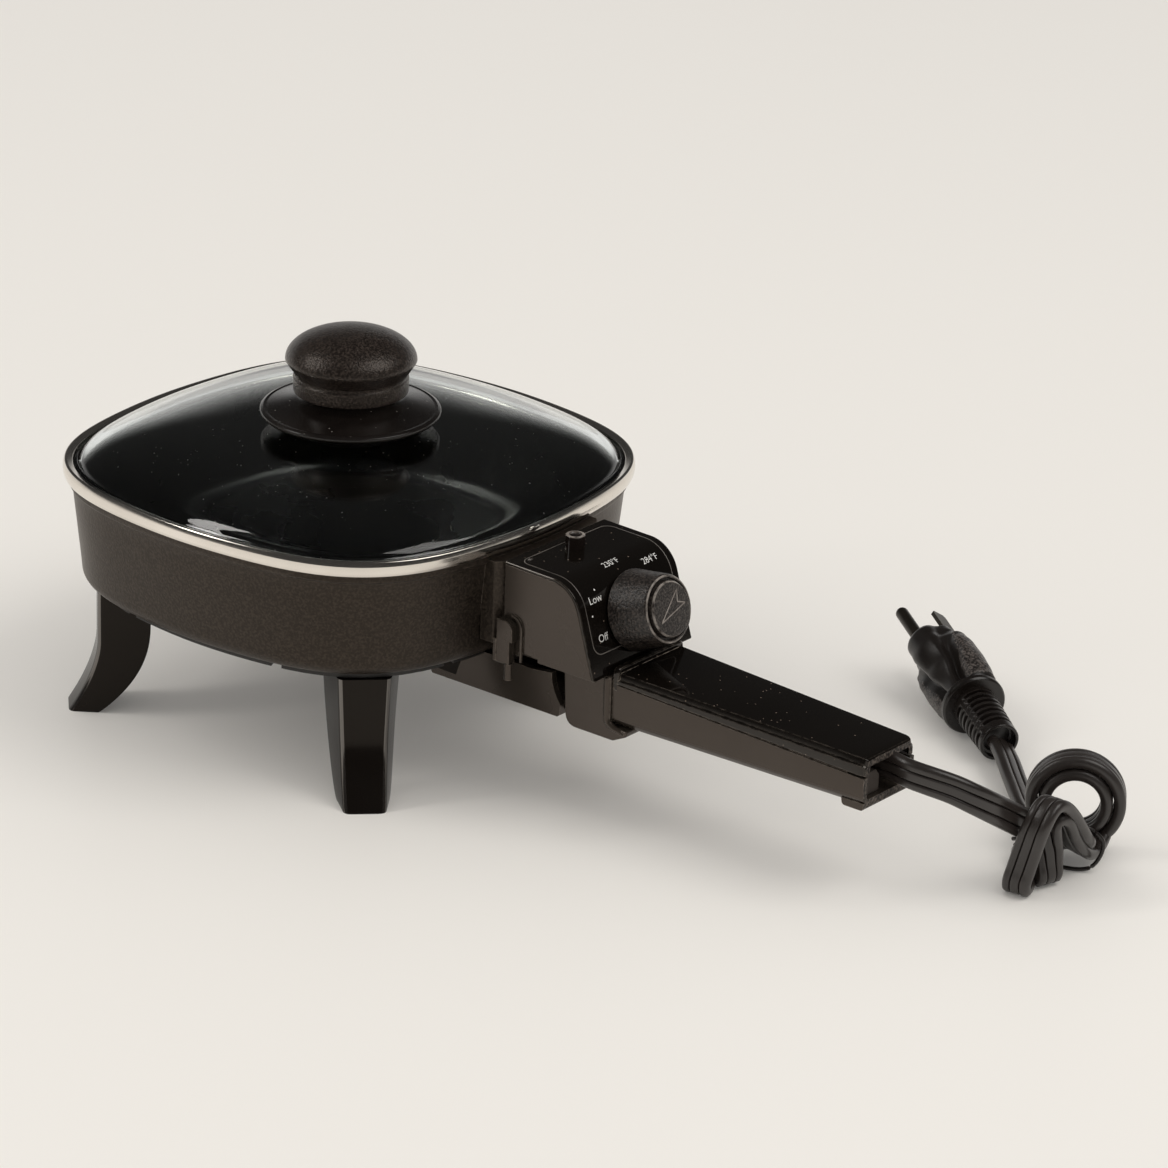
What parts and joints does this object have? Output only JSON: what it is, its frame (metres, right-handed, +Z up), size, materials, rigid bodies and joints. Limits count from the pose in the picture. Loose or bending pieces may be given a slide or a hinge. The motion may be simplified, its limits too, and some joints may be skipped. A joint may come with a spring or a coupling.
{
  "type": "electric skillet",
  "caption": "Square electric frying pan with a domed glass lid, a thermostat dial on a control box, one long handle, four flared legs and a tied mains lead",
  "frame": {"origin": "On the floor, under the middle of the object measured without its free lead", "axes": "+X runs from the pan along the handle, +Z is up, and +Y completes a right-handed frame"},
  "size_m": [0.3833, 0.26, 0.1434],
  "materials": {
    "pan_casting": "dark fine metallic coating outside, speckled non-stick inside",
    "element_sheath": "heat-dulled steel sheath",
    "black_steel": "black paint",
    "gloss_black": "glossy black phenolic",
    "screw_steel": "plain steel",
    "lid_glass": "clear tempered glass with a faint green edge",
    "ring_steel": "polished stainless band",
    "satin_black": "satin black with a fine grain",
    "seal_rubber": "matt",
    "satin_brown": "satin brown-black phenolic",
    "lens_dark": "dark red lens, unlit",
    "switch_body": "ceramic-like body",
    "dial_disc": "grained disc",
    "cord_black": "satin ribbed sheath",
    "plug_black": "satin moulded body with a textured grip",
    "plug_brass": "dull nickel-tinted brass"
  },
  "bodies": {
    "skillet": {"pan": "pan_casting", "heating_element": "element_sheath", "base_ring": "black_steel", "leg_front_left": "gloss_black", "leg_front_right": "gloss_black", "leg_back_left": "gloss_black", "leg_back_right": "gloss_black", "leg_screws": "screw_steel", "support_arm": "black_steel", "arm_screws": "screw_steel", "box_screws": "screw_steel", "control_box": "satin_brown", "face_plate": "gloss_black", "side_lugs": "satin_brown", "lug_pins": "screw_steel", "lamp_lens": "lens_dark", "thermostat": "switch_body", "collar": "satin_brown", "handle_lower": "satin_brown", "handle_upper": "gloss_black", "handle_screws": "screw_steel", "cord_clamp": "satin_black", "cord_lead": "cord_black", "cord_loop_front": "cord_black", "cord_loop_side": "cord_black", "cord_tail": "cord_black", "cord_tie": "cord_black", "plug_body": "plug_black", "plug_relief": "plug_black", "plug_blades": "plug_brass", "plug_earth_pin": "plug_brass"},
    "lid": {"lid_glass": "lid_glass", "lid_ring": "ring_steel", "knob_skirt": "satin_black", "lid_knob": "satin_black", "knob_washer": "seal_rubber", "knob_screw": "screw_steel"},
    "dial": {"dial_knob": "satin_black", "dial_cap": "dial_disc", "dial_shaft": "screw_steel"}
  },
  "joints": [
    {"name": "lid_lift", "type": "slide", "parent": "skillet", "child": "lid", "axis": [0, 0, 1], "range_m": [0, 0.1]},
    {"name": "dial_turn", "type": "hinge", "parent": "skillet", "child": "dial", "pos_m": [0.05572, 0, 0.0724], "axis": [-0.9563, 0, -0.2924], "range_deg": [0, 160]}
  ]
}
